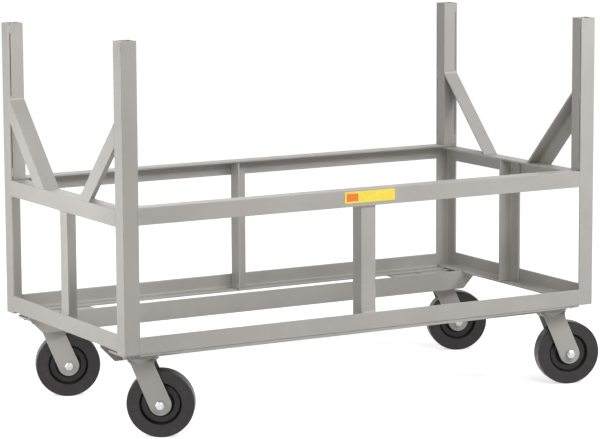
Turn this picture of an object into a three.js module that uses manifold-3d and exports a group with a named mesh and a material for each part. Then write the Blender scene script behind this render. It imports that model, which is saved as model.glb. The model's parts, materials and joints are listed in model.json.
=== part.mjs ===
// Long material cart: a welded angle-steel frame with four uprights, open
// above and below, on four swivel casters. Millimetres, +Z up. The origin is
// on the floor at the middle of the footprint, +X along the length and +Y
// from the front side to the rear side.
import * as THREE from 'three';
import { mergeVertices } from 'three/addons/utils/BufferGeometryUtils.js';
import Module from 'manifold-3d';

const wasm = await Module();
wasm.setup();

// Frame
const FRAME_LENGTH = 1660;
const FRAME_WIDTH = 850;
const POST_HEIGHT = 917;
const LOWER_BAY_HEIGHT = 381;
const LEG = 50.8;
const WALL = 6.35;
const EDGE_RADIUS = 1.6;
const WELD_GAP = 0.3;
const BOX_SLOT = 2;

// Braces at the ends, measured along the post and along the end rail
const BRACE_RISE = 254;
const BRACE_RUN = 251;

// Stringers, sill bars and caster pads under the lower frame
const STRINGER_DEPTH = 62;
const STRINGER_WALL = 6.35;
const STRINGER_INSET = 164;
const STRINGER_DROP = 47;
const SILL_THICKNESS = 6.35;
const SILL_WIDTH = 19.05;
const SILL_SETBACK = 2;
const PAD_LENGTH = 215;
const PAD_END_SETBACK = 24;

// Label plate on the front upper rail
const LABEL_LENGTH = 178;
const LABEL_HEIGHT = 36;
const LABEL_THICKNESS = 0.8;
const LABEL_CENTRE_X = 1;
const LABEL_RAISE = 3.5;

// Casters
const WHEEL_TO_CROWN = 31.05;
const CASTER_INSET_X = 98.5;
const CASTER_INSET_Y = 96.6;
const SWIVEL_LEAD = 59;
const PLATE_LENGTH = 158.8;
const PLATE_WIDTH = 114.3;
const PLATE_THICKNESS = 6.35;
const PLATE_CORNER = 8;
const BOLT_SPACING_X = 125.4;
const BOLT_SPACING_Y = 61.9;
const BOLT_RADIUS = 4.76;
const BOLT_HEX_RADIUS = 8.2;
const BOLT_HEAD_HEIGHT = 5.5;
const NUT_HEIGHT = 7;
const BOLT_TIP = 1;
const HOLE_CLEARANCE = 0.5;

// Swivel bearing
const RACE_RADIUS = 58.4;
const UPPER_RACE_DEPTH = 7;
const LOWER_RACE_RADIUS = 54;
const LOWER_RACE_DEPTH = 4;
const RACE_GAP = 0.8;
const KINGPIN_RADIUS = 9.5;
const KINGPIN_HEAD_RADIUS = 14;
const KINGPIN_HEAD_HEIGHT = 5;
const KINGPIN_NUT_RADIUS = 15;
const KINGPIN_NUT_HEIGHT = 11;
const SWIVEL_CLEARANCE = 0.6;

// Fork
const FORK_WALL = 6.35;
const FORK_INSIDE = 63.5;
const FORK_TOP_WIDTH = 69;
const FORK_TOP_OFFSET = 4;
const FORK_TIP_RADIUS = 33;
const FORK_FLARE_REACH = 8;
const FORK_FLARE_DEPTH = 35;
const CROWN_THICKNESS = 6.4;
const CROWN_FOOT_RADIUS = 42;

// Wheel, hub bearing and axle
const WHEEL_RADIUS = 101.6;
const WHEEL_WIDTH = 50.8;
const TREAD_CROWN = 0.4;
const TREAD_SHOULDER = 2.4;
const RIM_INNER_RADIUS = 62;
const RIM_RECESS = 13;
const RIM_DRAFT = 5;
const WEB_INNER_RADIUS = 42;
const HUB_RADIUS = 30;
const HUB_WIDTH = 56;
const HUB_BORE_RADIUS = 16;
const BEARING_LENGTH = 60;
const BEARING_CLEARANCE = 0.3;
const AXLE_RADIUS = 7.94;
const AXLE_CLEARANCE = 0.4;
const AXLE_HEX_RADIUS = 13.7;
const AXLE_HEAD_HEIGHT = 9.9;
const AXLE_NUT_HEIGHT = 14;
const AXLE_TIP = 3;

// How far each fork is turned about its kingpin from straight along +X
const SWIVEL_DEGREES = { fl: -31.4, fr: -17, rl: -20.2, rr: -21 };

// Facets
const EDGE_STEPS = 2;
const TIP_STEPS = 12;
const CORNER_STEPS = 4;
const SMALL_STEPS = 12;
const ROUND_STEPS = 24;
const WHEEL_STEPS = 32;
const HEX_STEPS = 6;

// How far a cutting shape runs past the face it cuts
const OVERRUN = 5;

// Places worked out from the driving dimensions
const HALF_LENGTH = FRAME_LENGTH / 2;
const HALF_WIDTH = FRAME_WIDTH / 2;
const LAP = WALL + WELD_GAP;
const CROWN_BOTTOM = 2 * WHEEL_RADIUS + WHEEL_TO_CROWN;
const CROWN_TOP = CROWN_BOTTOM + CROWN_THICKNESS;
const LOWER_RACE_TOP = CROWN_TOP + LOWER_RACE_DEPTH;
const UPPER_RACE_BOTTOM = LOWER_RACE_TOP + RACE_GAP;
const PLATE_BOTTOM = UPPER_RACE_BOTTOM + UPPER_RACE_DEPTH;
const CASTER_HEIGHT = PLATE_BOTTOM + PLATE_THICKNESS;
const FRAME_BOTTOM = CASTER_HEIGHT + SILL_THICKNESS + 2 * WELD_GAP;
const POST_TOP = FRAME_BOTTOM + POST_HEIGHT;
const UPPER_BOTTOM = FRAME_BOTTOM + LOWER_BAY_HEIGHT;
const UPPER_TOP = UPPER_BOTTOM + LEG;
const PAD_TOP = FRAME_BOTTOM - WELD_GAP;
const PAD_BOTTOM = PAD_TOP - SILL_THICKNESS;

const X = new THREE.Vector3(1, 0, 0);
const Y = new THREE.Vector3(0, 1, 0);
const Z = new THREE.Vector3(0, 0, 1);

const paint = new THREE.MeshStandardMaterial({ color: 0xa8a49f, roughness: 0.42, metalness: 0 });
const phenolic = new THREE.MeshStandardMaterial({ color: 0x1d1a1a, roughness: 0.35, metalness: 0 });
const zinc = new THREE.MeshStandardMaterial({ color: 0xd6dade, roughness: 0.25, metalness: 1 });
const bearingSteel = new THREE.MeshStandardMaterial({ color: 0x8f9194, roughness: 0.3, metalness: 1 });
const labelYellow = new THREE.MeshStandardMaterial({ color: 0xf4dc2e, roughness: 0.4, metalness: 0 });

const cart = new THREE.Group();

function addMesh(parent, name, geometry, material) {
  const mesh = new THREE.Mesh(geometry, material);
  mesh.name = name;
  parent.add(mesh);
  return mesh;
}

// Solids that manifold-3d joins and cuts
function toSolid(geometry) {
  const bare = geometry.clone();
  bare.deleteAttribute('normal');
  bare.deleteAttribute('uv');
  const merged = mergeVertices(bare);
  return new wasm.Manifold(new wasm.Mesh({
    numProp: 3,
    vertProperties: new Float32Array(merged.attributes.position.array),
    triVerts: new Uint32Array(merged.index.array),
  }));
}

function toGeometry(solid) {
  const mesh = solid.getMesh();
  const geometry = new THREE.BufferGeometry();
  geometry.setAttribute('position', new THREE.BufferAttribute(mesh.vertProperties, 3));
  geometry.setIndex(new THREE.BufferAttribute(mesh.triVerts, 1));
  return geometry;
}

function joined(geometries) {
  return geometries.map(toSolid).reduce((sum, solid) => sum.add(solid));
}

function cutFrom(solid, geometries) {
  return geometries.map(toSolid).reduce((rest, cutter) => rest.subtract(cutter), solid);
}

// Box between two corners
function boxBetween(low, high) {
  const size = low.map((value, i) => high[i] - value);
  const centre = low.map((value, i) => (high[i] + value) / 2);
  return new THREE.BoxGeometry(...size).translate(...centre);
}

// Upright cylinder from z = low to z = high at (x, y)
function postCylinder(radius, low, high, x = 0, y = 0, steps = ROUND_STEPS) {
  const height = high - low;
  return new THREE.CylinderGeometry(radius, radius, height, steps)
    .rotateX(Math.PI / 2)
    .translate(x, y, low + height / 2);
}

// Cylinder along Y from y = low to y = high at (x, z)
function crossCylinder(radius, low, high, x, z, steps = ROUND_STEPS) {
  const length = high - low;
  return new THREE.CylinderGeometry(radius, radius, length, steps)
    .translate(0, low + length / 2, 0)
    .translate(x, 0, z);
}

// Ring about the Z axis, from the (radius, height) points of its section. The
// points run counter-clockwise, with the radius to the right.
function turnedRing(section) {
  const points = [...section, section[0]].map(([r, z]) => new THREE.Vector2(r, z));
  return new THREE.LatheGeometry(points, ROUND_STEPS).rotateX(Math.PI / 2);
}

// Adds a corner rounded with the edge radius. The corner is convex, and the
// outline turns from direction `from` to direction `to` there.
function roundCorner(outline, x, y, from, to) {
  const centreX = x - from[0] * EDGE_RADIUS + to[0] * EDGE_RADIUS;
  const centreY = y - from[1] * EDGE_RADIUS + to[1] * EDGE_RADIUS;
  const start = Math.atan2(-to[1], -to[0]);
  outline.absarc(centreX, centreY, EDGE_RADIUS, start, start + Math.PI / 2, false);
}

// Angle section with its heel at the origin and its legs along +x and +y
function angleOutline(leg) {
  const outline = new THREE.Shape();
  roundCorner(outline, 0, 0, [0, -1], [1, 0]);
  roundCorner(outline, leg, 0, [1, 0], [0, 1]);
  roundCorner(outline, leg, WALL, [0, 1], [-1, 0]);
  outline.lineTo(WALL, WALL);
  roundCorner(outline, WALL, leg, [0, 1], [-1, 0]);
  roundCorner(outline, 0, leg, [-1, 0], [0, -1]);
  return outline;
}

function angleGeometry(leg, length) {
  const settings = { depth: length, bevelEnabled: false, curveSegments: EDGE_STEPS };
  return new THREE.ExtrudeGeometry(angleOutline(leg), settings);
}

// Puts an angle bar with the middle of its heel line at `heel` and its two
// legs along the unit vectors `legA` and `legB`
function addAngle(name, geometry, length, heel, legA, legB) {
  const bar = addMesh(cart, name, geometry, paint);
  const along = new THREE.Vector3().crossVectors(legA, legB);
  bar.quaternion.setFromRotationMatrix(new THREE.Matrix4().makeBasis(legA, legB, along));
  bar.position.copy(heel).addScaledVector(along, -length / 2);
  return bar;
}

// Rail whose outer leg stops at the posts while its inward leg runs on into
// the corner. The inward leg is local +y.
function copedRail(length) {
  const cope = LEG - WALL;
  const cutters = [[-OVERRUN, cope], [length - cope, length + OVERRUN]].map(([low, high]) =>
    boxBetween([-OVERRUN, -OVERRUN, low], [LEG + OVERRUN, LAP, high]));
  return toGeometry(cutFrom(toSolid(angleGeometry(LEG, length)), cutters));
}

// The four corners, seen from above
const CORNERS = {
  fl: { x: -1, y: -1 },
  fr: { x: 1, y: -1 },
  rl: { x: -1, y: 1 },
  rr: { x: 1, y: 1 },
};

// Unit vectors along the two legs, ordered so that they turn from A to B
// counter-clockwise about Z
function upwardLegs(signX, signY) {
  const alongX = X.clone().multiplyScalar(signX);
  const alongY = Y.clone().multiplyScalar(signY);
  return signX * signY > 0 ? [alongX, alongY] : [alongY, alongX];
}

// Corner posts, and the second angle that boxes each one above the upper frame
function addPosts() {
  const boxHeight = POST_TOP - UPPER_TOP - WELD_GAP;
  const boxLeg = LEG - WALL - BOX_SLOT;
  for (const [corner, sign] of Object.entries(CORNERS)) {
    const outward = new THREE.Vector3(
      sign.x * HALF_LENGTH, sign.y * HALF_WIDTH, FRAME_BOTTOM + POST_HEIGHT / 2);
    const [legA, legB] = upwardLegs(-sign.x, -sign.y);
    addAngle(`corner_post_${corner}`, angleGeometry(LEG, POST_HEIGHT), POST_HEIGHT, outward, legA, legB);

    const inward = new THREE.Vector3(
      sign.x * (HALF_LENGTH - LEG), sign.y * (HALF_WIDTH - LEG), POST_TOP - boxHeight / 2);
    const [boxA, boxB] = upwardLegs(sign.x, sign.y);
    const box = angleGeometry(boxLeg, boxHeight);
    addAngle(`post_box_angle_${corner}`, box, boxHeight, inward, boxA, boxB);
  }
}

// Upper and lower rails. End rails lap inside the side rails, so they sit one
// wall lower at the top and one wall higher at the bottom.
function addRails() {
  const sideLength = FRAME_LENGTH - 2 * LAP;
  const endLength = FRAME_WIDTH - 2 * LAP;
  const down = Z.clone().negate();
  const levels = [
    { name: 'upper', heel: UPPER_TOP, lap: -LAP, leg: down },
    { name: 'lower', heel: FRAME_BOTTOM, lap: LAP, leg: Z },
  ];
  for (const level of levels) {
    for (const [side, sign] of [['front', -1], ['rear', 1]]) {
      const heel = new THREE.Vector3(0, sign * HALF_WIDTH, level.heel);
      const inward = Y.clone().multiplyScalar(-sign);
      addAngle(`${level.name}_rail_${side}`, copedRail(sideLength), sideLength, heel, level.leg, inward);
    }
    for (const [side, sign] of [['left', -1], ['right', 1]]) {
      const heel = new THREE.Vector3(sign * HALF_LENGTH, 0, level.heel + level.lap);
      const inward = X.clone().multiplyScalar(-sign);
      addAngle(`${level.name}_rail_${side}`, copedRail(endLength), endLength, heel, level.leg, inward);
    }
  }
}

// Middle struts between the two frames, inside the rails' outer legs
function addStruts() {
  const low = FRAME_BOTTOM + LAP;
  const high = UPPER_TOP - LAP;
  const sideHeight = high - low;
  const endHeight = sideHeight - 2 * LAP;
  const middle = (low + high) / 2;
  const heelX = -LEG / 2;
  const heelY = LEG / 2;
  const struts = [
    ['front', sideHeight, heelX, LAP - HALF_WIDTH, 1, 1],
    ['rear', sideHeight, heelX, HALF_WIDTH - LAP, 1, -1],
    ['left', endHeight, LAP - HALF_LENGTH, heelY, 1, -1],
    ['right', endHeight, HALF_LENGTH - LAP, heelY, -1, -1],
  ];
  for (const [side, height, x, y, signX, signY] of struts) {
    const [legA, legB] = upwardLegs(signX, signY);
    const heel = new THREE.Vector3(x, y, middle);
    addAngle(`mid_strut_${side}`, angleGeometry(LEG, height), height, heel, legA, legB);
  }
}

// Strip of a brace between its heel line and a line `depth` below it, cut
// upright at the post and level at the rail. `side` is the sign of the post's y.
function braceStrip(side, depth, width) {
  const slope = Math.atan2(BRACE_RISE, BRACE_RUN);
  const postY = HALF_WIDTH - LEG - WELD_GAP;
  const footY = postY - BRACE_RUN;
  const footZ = UPPER_TOP - LAP + WELD_GAP;
  const topZ = footZ + BRACE_RISE;
  const points = [
    [footY, footZ],
    [footY + depth / Math.sin(slope), footZ],
    [postY, topZ - depth / Math.cos(slope)],
    [postY, topZ],
  ].map(([y, z]) => new THREE.Vector2(side * y, z));
  const settings = { depth: width, bevelEnabled: false };
  const basis = new THREE.Matrix4().makeBasis(Y, Z, X);
  return new THREE.ExtrudeGeometry(new THREE.Shape(points), settings).applyMatrix4(basis);
}

// Diagonal braces: one leg flush with the end of the frame, one on top
function addBraces() {
  for (const [corner, sign] of Object.entries(CORNERS)) {
    const turned = sign.x > 0;
    const side = turned ? -sign.y : sign.y;
    const geometry = toGeometry(joined([braceStrip(side, LEG, WALL), braceStrip(side, WALL, LEG)]));
    const brace = addMesh(cart, `end_brace_${corner}`, geometry, paint);
    brace.position.x = sign.x * HALF_LENGTH;
    brace.rotation.z = turned ? Math.PI : 0;
  }
}

// Stringers on edge under the lower frame. They pass under the end rails'
// inward legs, and their ends are cut back at 45 degrees.
function addStringers() {
  const low = FRAME_BOTTOM - STRINGER_DROP;
  const high = low + STRINGER_DEPTH;
  const shoulder = FRAME_BOTTOM + LAP - 2 * WELD_GAP;
  const innerX = HALF_LENGTH - LEG - WELD_GAP;
  const outerX = HALF_LENGTH - WELD_GAP;
  const half = [
    [outerX - STRINGER_DROP, low],
    [outerX, FRAME_BOTTOM],
    [outerX, shoulder],
    [innerX, shoulder],
    [innerX, high],
  ];
  const mirrored = half.map(([x, z]) => [-x, z]).reverse();
  const outline = new THREE.Shape([...half, ...mirrored].map(([x, z]) => new THREE.Vector2(x, z)));
  const settings = { depth: STRINGER_WALL, bevelEnabled: false };
  for (const [side, sign] of [['front', -1], ['rear', 1]]) {
    const geometry = new THREE.ExtrudeGeometry(outline, settings).rotateX(Math.PI / 2);
    const stringer = addMesh(cart, `stringer_${side}`, geometry, paint);
    const frontFace = sign * (HALF_WIDTH - STRINGER_INSET - STRINGER_WALL / 2) - STRINGER_WALL / 2;
    stringer.position.y = frontFace + STRINGER_WALL;
  }
}

// Sill bars under the side rails, between the caster pads
function addSillBars() {
  const padInner = HALF_LENGTH - LEG - WELD_GAP - PAD_LENGTH;
  const reach = padInner - WELD_GAP;
  for (const [side, sign] of [['front', -1], ['rear', 1]]) {
    const outerY = HALF_WIDTH - SILL_SETBACK;
    const yEdges = [outerY, outerY - SILL_WIDTH].map((y) => sign * y);
    const low = [-reach, Math.min(...yEdges), PAD_BOTTOM];
    const high = [reach, Math.max(...yEdges), PAD_TOP];
    addMesh(cart, `sill_bar_${side}`, boxBetween(low, high), paint);
  }
}

function boltPlaces() {
  return [-1, 1].flatMap((i) => [-1, 1].map((j) => [i * BOLT_SPACING_X / 2, j * BOLT_SPACING_Y / 2]));
}

function casterCentre(sign) {
  return [sign.x * (HALF_LENGTH - CASTER_INSET_X), sign.y * (HALF_WIDTH - CASTER_INSET_Y)];
}

// Pad between the side rail and the stringer, above one caster. It runs on
// under the end rail, with a notch round the post.
function addPad(corner, sign) {
  const [casterX, casterY] = casterCentre(sign);
  const notchX = HALF_LENGTH - LEG - WELD_GAP;
  const notchY = HALF_WIDTH - LEG - WELD_GAP;
  const endX = HALF_LENGTH - PAD_END_SETBACK;
  const outerY = HALF_WIDTH - SILL_SETBACK;
  const innerY = HALF_WIDTH - STRINGER_INSET + WELD_GAP;
  const outline = [
    [notchX - PAD_LENGTH, innerY],
    [endX, innerY],
    [endX, notchY],
    [notchX, notchY],
    [notchX, outerY],
    [notchX - PAD_LENGTH, outerY],
  ].map(([x, y]) => new THREE.Vector2(sign.x * x, sign.y * y));
  const settings = { depth: SILL_THICKNESS, bevelEnabled: false };
  const plate = new THREE.ExtrudeGeometry(new THREE.Shape(outline), settings).translate(0, 0, PAD_BOTTOM);
  const cutLow = PAD_BOTTOM - OVERRUN;
  const cutHigh = PAD_TOP + OVERRUN;
  const holes = boltPlaces().map(([x, y]) => postCylinder(
    BOLT_RADIUS + HOLE_CLEARANCE, cutLow, cutHigh, casterX + x, casterY + y, SMALL_STEPS));
  holes.push(postCylinder(KINGPIN_HEAD_RADIUS + HOLE_CLEARANCE, cutLow, cutHigh, casterX, casterY));
  addMesh(cart, `caster_pad_${corner}`, toGeometry(cutFrom(toSolid(plate), holes)), paint);
}

function roundedPlate(length, width, corner, low, high) {
  const outline = new THREE.Shape();
  const [x, y] = [length / 2 - corner, width / 2 - corner];
  outline.absarc(x, y, corner, 0, Math.PI / 2);
  outline.absarc(-x, y, corner, Math.PI / 2, Math.PI);
  outline.absarc(-x, -y, corner, Math.PI, 3 * Math.PI / 2);
  outline.absarc(x, -y, corner, 3 * Math.PI / 2, 2 * Math.PI);
  const settings = { depth: high - low, bevelEnabled: false, curveSegments: CORNER_STEPS };
  return new THREE.ExtrudeGeometry(outline, settings).translate(0, 0, low);
}

// Top plate with the upper race on its underside and its four bolts and nuts.
// The bolts pass through the pad above, and their heads sit on it.
function topPlateGeometry() {
  const headBottom = PAD_TOP + WELD_GAP;
  const headTop = headBottom + BOLT_HEAD_HEIGHT;
  const nutBottom = PLATE_BOTTOM - NUT_HEIGHT;
  const bolts = boltPlaces().flatMap(([x, y]) => [
    postCylinder(BOLT_RADIUS, nutBottom - BOLT_TIP, headTop - BOLT_HEAD_HEIGHT / 2, x, y, SMALL_STEPS),
    postCylinder(BOLT_HEX_RADIUS, headBottom, headTop, x, y, HEX_STEPS),
    postCylinder(BOLT_HEX_RADIUS, nutBottom, PLATE_BOTTOM + PLATE_THICKNESS / 2, x, y, HEX_STEPS),
  ]);
  const solid = joined([
    roundedPlate(PLATE_LENGTH, PLATE_WIDTH, PLATE_CORNER, PLATE_BOTTOM, CASTER_HEIGHT),
    turnedRing([
      [KINGPIN_RADIUS, UPPER_RACE_BOTTOM],
      [RACE_RADIUS, UPPER_RACE_BOTTOM],
      [RACE_RADIUS, CASTER_HEIGHT - PLATE_THICKNESS / 2],
      [KINGPIN_RADIUS, CASTER_HEIGHT - PLATE_THICKNESS / 2],
    ]),
    ...bolts,
  ]);
  const bore = postCylinder(
    KINGPIN_RADIUS + HOLE_CLEARANCE, UPPER_RACE_BOTTOM - OVERRUN, CASTER_HEIGHT + OVERRUN);
  return toGeometry(cutFrom(solid, [bore]));
}

// Kingpin with its head in the pad's hole and its nut under the fork's crown
function kingpinGeometry() {
  const nutTop = CROWN_BOTTOM - SWIVEL_CLEARANCE;
  const nutBottom = nutTop - KINGPIN_NUT_HEIGHT;
  const headBottom = CASTER_HEIGHT + WELD_GAP;
  return toGeometry(joined([
    postCylinder(KINGPIN_RADIUS, nutBottom - BOLT_TIP, headBottom + KINGPIN_HEAD_HEIGHT / 2),
    postCylinder(KINGPIN_HEAD_RADIUS, headBottom, headBottom + KINGPIN_HEAD_HEIGHT),
    postCylinder(KINGPIN_NUT_RADIUS, nutBottom, nutTop, 0, 0, HEX_STEPS),
  ]));
}

// Outline of a fork leg in (trail, height): straight sides that run tangent
// into the round tip about the axle, and a flare at the top of the left side
function legOutline() {
  const left = [FORK_TOP_OFFSET - FORK_TOP_WIDTH / 2, CROWN_TOP];
  const right = [FORK_TOP_OFFSET + FORK_TOP_WIDTH / 2, CROWN_TOP];
  const tangentAngle = ([x, z], turn) => {
    const dx = x - SWIVEL_LEAD;
    const dz = z - WHEEL_RADIUS;
    return Math.atan2(dz, dx) + turn * Math.acos(FORK_TIP_RADIUS / Math.hypot(dx, dz));
  };
  const leftAngle = tangentAngle(left, 1);
  const flareFoot = left[0] + FORK_FLARE_DEPTH * Math.tan(leftAngle);
  const outline = new THREE.Shape();
  outline.moveTo(left[0] - FORK_FLARE_REACH, CROWN_TOP);
  outline.lineTo(...right);
  outline.absarc(SWIVEL_LEAD, WHEEL_RADIUS, FORK_TIP_RADIUS, tangentAngle(right, -1),
    leftAngle - 2 * Math.PI, true);
  outline.lineTo(flareFoot, CROWN_TOP - FORK_FLARE_DEPTH);
  outline.quadraticCurveTo(...left, left[0] - FORK_FLARE_REACH, CROWN_TOP);
  return outline;
}

// Fork: lower race, a crown that tapers below it, and two legs
function forkGeometry() {
  const halfOutside = FORK_INSIDE / 2 + FORK_WALL;
  const settings = { depth: FORK_WALL, bevelEnabled: false, curveSegments: TIP_STEPS };
  const legs = [-FORK_INSIDE / 2, halfOutside].map((y) =>
    new THREE.ExtrudeGeometry(legOutline(), settings).rotateX(Math.PI / 2).translate(0, y, 0));
  const crown = boxBetween(
    [FORK_TOP_OFFSET - FORK_TOP_WIDTH / 2, -halfOutside + FORK_WALL / 2, CROWN_BOTTOM],
    [FORK_TOP_OFFSET + FORK_TOP_WIDTH / 2, halfOutside - FORK_WALL / 2, CROWN_TOP - CROWN_THICKNESS / 2]);
  const race = turnedRing([
    [KINGPIN_RADIUS, CROWN_BOTTOM],
    [CROWN_FOOT_RADIUS, CROWN_BOTTOM],
    [LOWER_RACE_RADIUS, CROWN_TOP],
    [LOWER_RACE_RADIUS, LOWER_RACE_TOP],
    [KINGPIN_RADIUS, LOWER_RACE_TOP],
  ]);
  return toGeometry(cutFrom(joined([...legs, crown, race]), [
    postCylinder(KINGPIN_RADIUS + SWIVEL_CLEARANCE, CROWN_BOTTOM - OVERRUN, LOWER_RACE_TOP + OVERRUN),
    crossCylinder(AXLE_RADIUS + AXLE_CLEARANCE, -halfOutside - OVERRUN, halfOutside + OVERRUN,
      SWIVEL_LEAD, WHEEL_RADIUS),
  ]));
}

// Wheel turned about Y, with a flat facet down. Half of its outline in
// (radius, width), from the bore out to the middle of the tread.
function wheelGeometry() {
  const scale = 1 / Math.cos(Math.PI / WHEEL_STEPS);
  const rimFace = WHEEL_WIDTH / 2;
  const half = [
    [HUB_BORE_RADIUS, HUB_WIDTH / 2],
    [HUB_RADIUS, HUB_WIDTH / 2],
    [WEB_INNER_RADIUS, rimFace - RIM_RECESS],
    [RIM_INNER_RADIUS - RIM_DRAFT, rimFace - RIM_RECESS],
    [RIM_INNER_RADIUS, rimFace],
    [WHEEL_RADIUS - TREAD_SHOULDER, rimFace],
    [WHEEL_RADIUS - TREAD_CROWN, rimFace - TREAD_SHOULDER],
    [WHEEL_RADIUS, rimFace - 2 * TREAD_SHOULDER],
  ];
  const points = [...half.map(([r, y]) => [r, -y]), ...half.reverse()]
    .map(([r, y]) => new THREE.Vector2(r * scale, y));
  return new THREE.LatheGeometry([...points, points[0]], WHEEL_STEPS, Math.PI / WHEEL_STEPS);
}

function bearingGeometry() {
  const inner = AXLE_RADIUS + AXLE_CLEARANCE;
  const outer = HUB_BORE_RADIUS - BEARING_CLEARANCE;
  const half = BEARING_LENGTH / 2;
  const points = [[inner, -half], [outer, -half], [outer, half], [inner, half]]
    .map(([r, y]) => new THREE.Vector2(r, y));
  return new THREE.LatheGeometry([...points, points[0]], ROUND_STEPS);
}

// Axle bolt with its nut on the fork's -Y side and its head on the other side
function axleGeometry() {
  const outside = FORK_INSIDE / 2 + FORK_WALL + WELD_GAP;
  const nutEnd = outside + AXLE_NUT_HEIGHT;
  return toGeometry(joined([
    crossCylinder(AXLE_RADIUS, -nutEnd - AXLE_TIP, outside + AXLE_HEAD_HEIGHT / 2, 0, 0),
    crossCylinder(AXLE_HEX_RADIUS, -nutEnd, -outside, 0, 0, HEX_STEPS),
    crossCylinder(AXLE_HEX_RADIUS, outside, outside + AXLE_HEAD_HEIGHT, 0, 0, HEX_STEPS),
  ]));
}

function addCaster(corner, sign) {
  const caster = new THREE.Group();
  const [x, y] = casterCentre(sign);
  caster.position.set(x, y, 0);
  cart.add(caster);
  addMesh(caster, `caster_plate_${corner}`, topPlateGeometry(), paint);
  addMesh(caster, `kingpin_${corner}`, kingpinGeometry(), bearingSteel);

  const swivel = new THREE.Group();
  swivel.rotation.z = THREE.MathUtils.degToRad(SWIVEL_DEGREES[corner]);
  caster.add(swivel);
  addMesh(swivel, `caster_fork_${corner}`, forkGeometry(), paint);

  const axis = new THREE.Group();
  axis.position.set(SWIVEL_LEAD, 0, WHEEL_RADIUS);
  swivel.add(axis);
  addMesh(axis, `axle_${corner}`, axleGeometry(), zinc);
  addMesh(axis, `wheel_${corner}`, wheelGeometry(), phenolic);
  addMesh(axis, `hub_bearing_${corner}`, bearingGeometry(), bearingSteel);
}

function addLabel() {
  const face = -HALF_WIDTH - WELD_GAP;
  const centreZ = UPPER_BOTTOM + LEG / 2 + LABEL_RAISE;
  addMesh(cart, 'label_plate', boxBetween(
    [LABEL_CENTRE_X - LABEL_LENGTH / 2, face - LABEL_THICKNESS, centreZ - LABEL_HEIGHT / 2],
    [LABEL_CENTRE_X + LABEL_LENGTH / 2, face, centreZ + LABEL_HEIGHT / 2]), labelYellow);
}

addPosts();
addRails();
addStruts();
addBraces();
addStringers();
addSillBars();
for (const [corner, sign] of Object.entries(CORNERS)) {
  addPad(corner, sign);
  addCaster(corner, sign);
}
addLabel();

// The swivelled casters reach past the frame, so the frame stands off centre
const footprint = new THREE.Box3().setFromObject(cart, true);
const centre = footprint.getCenter(new THREE.Vector3());
cart.position.set(-centre.x, -centre.y, -footprint.min.z);

const part = new THREE.Group();
part.add(cart);
part.updateMatrixWorld(true);

export default part;
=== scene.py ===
# Looks of the long material cart: a painted angle-steel frame on four swivel
# casters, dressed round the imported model, with a plain studio and the camera.
# Metres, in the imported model's own frame.
import json
import math

import bmesh
import bpy
from mathutils import Matrix, Vector, noise


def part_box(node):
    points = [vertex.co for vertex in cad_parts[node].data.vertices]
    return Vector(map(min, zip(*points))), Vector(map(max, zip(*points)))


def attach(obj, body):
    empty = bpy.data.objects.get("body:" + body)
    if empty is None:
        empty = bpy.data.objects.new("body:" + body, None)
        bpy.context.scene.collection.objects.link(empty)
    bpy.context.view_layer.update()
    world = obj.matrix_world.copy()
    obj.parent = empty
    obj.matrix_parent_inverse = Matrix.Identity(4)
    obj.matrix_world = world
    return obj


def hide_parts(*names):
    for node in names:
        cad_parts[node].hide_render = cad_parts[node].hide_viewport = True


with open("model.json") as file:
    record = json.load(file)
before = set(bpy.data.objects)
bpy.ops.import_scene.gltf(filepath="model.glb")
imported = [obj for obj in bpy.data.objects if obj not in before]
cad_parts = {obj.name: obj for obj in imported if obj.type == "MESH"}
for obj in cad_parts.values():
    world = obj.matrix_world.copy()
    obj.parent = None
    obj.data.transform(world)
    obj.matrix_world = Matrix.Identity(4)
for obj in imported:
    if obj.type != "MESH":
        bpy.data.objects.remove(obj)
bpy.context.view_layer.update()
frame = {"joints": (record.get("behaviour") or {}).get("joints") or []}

# Angle sections and flat bars
WALL = 0.00635
WELD_GAP = 0.0003
HEEL_RADIUS = 0.0012
TOE_RADIUS = 0.0008
TOE_INNER_RADIUS = 0.0028
ROOT_RADIUS = 0.0055
SAW_CHAMFER = 0.0004
FLAT_EDGE = 0.0007

# Weld beads
BUTT_WIDTH = 0.0036
BUTT_RISE = 0.0011
FILLET_LEG = 0.0042
FILLET_RISE = 0.0007
STITCH_LENGTH = 0.028
STITCH_WIDTH = 0.0032
STITCH_SPACING = 0.22
STITCH_END = 0.004
POST_SEAM = WALL + 3 * WELD_GAP
RIPPLE_PITCH = 0.0026
RIPPLE_DEPTH_SHARE = 0.28
CRESCENT_SHARE = 0.4
RINGS_PER_RIPPLE = 4
BEAD_STEPS = 6
BEAD_SINK = 0.0008
BEAD_END_SHARE = 0.04
WANDER_SHARE = 0.18
WANDER_SCALE = 90

# Caster top plate, bolts and swivel races. Chamfers are (height, depth) pairs.
PLATE_THICKNESS = 0.00635
PLATE_CORNER = 0.008
PLATE_EDGE = 0.0009
BOLT_SPACING = (0.1254, 0.0619)
BOLT_RADIUS = 0.00476
BOLT_HEX = 0.0082
BOLT_HEAD = 0.0055
BOLT_SEAT_CHAMFER = (0.0003, 0.0004)
BOLT_HEAD_CHAMFER = (0.2 * BOLT_HEAD, 0.0011)
BOLT_NUT = 0.0056
BOLT_NUT_CHAMFER = (0.0006, 0.0009)
BOLT_WASHER = 0.0014
BOLT_WASHER_RADIUS = 0.0102
BOLT_WASHER_EDGE = 0.0003
BOLT_SHANK_LAP = 0.001
BOLT_TIP = 0.001
BOLT_TIP_DEPTH = 0.0006
HEX_CORNER = 0.0004
RACE_RADIUS = 0.0584
UPPER_RACE_DEPTH = 0.007
RACE_GAP = 0.0008
LOWER_RACE_RADIUS = 0.054
LOWER_RACE_DEPTH = 0.004
LOWER_RACE_EDGE = 0.001
LIP_RADIUS = 0.0018
LIP_RISE = 2.2 * LIP_RADIUS
LIP_TOP_RADIUS = 0.6 * LIP_RADIUS
KINGPIN_RADIUS = 0.0095
KINGPIN_TIP_EDGE = 0.0008
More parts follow.
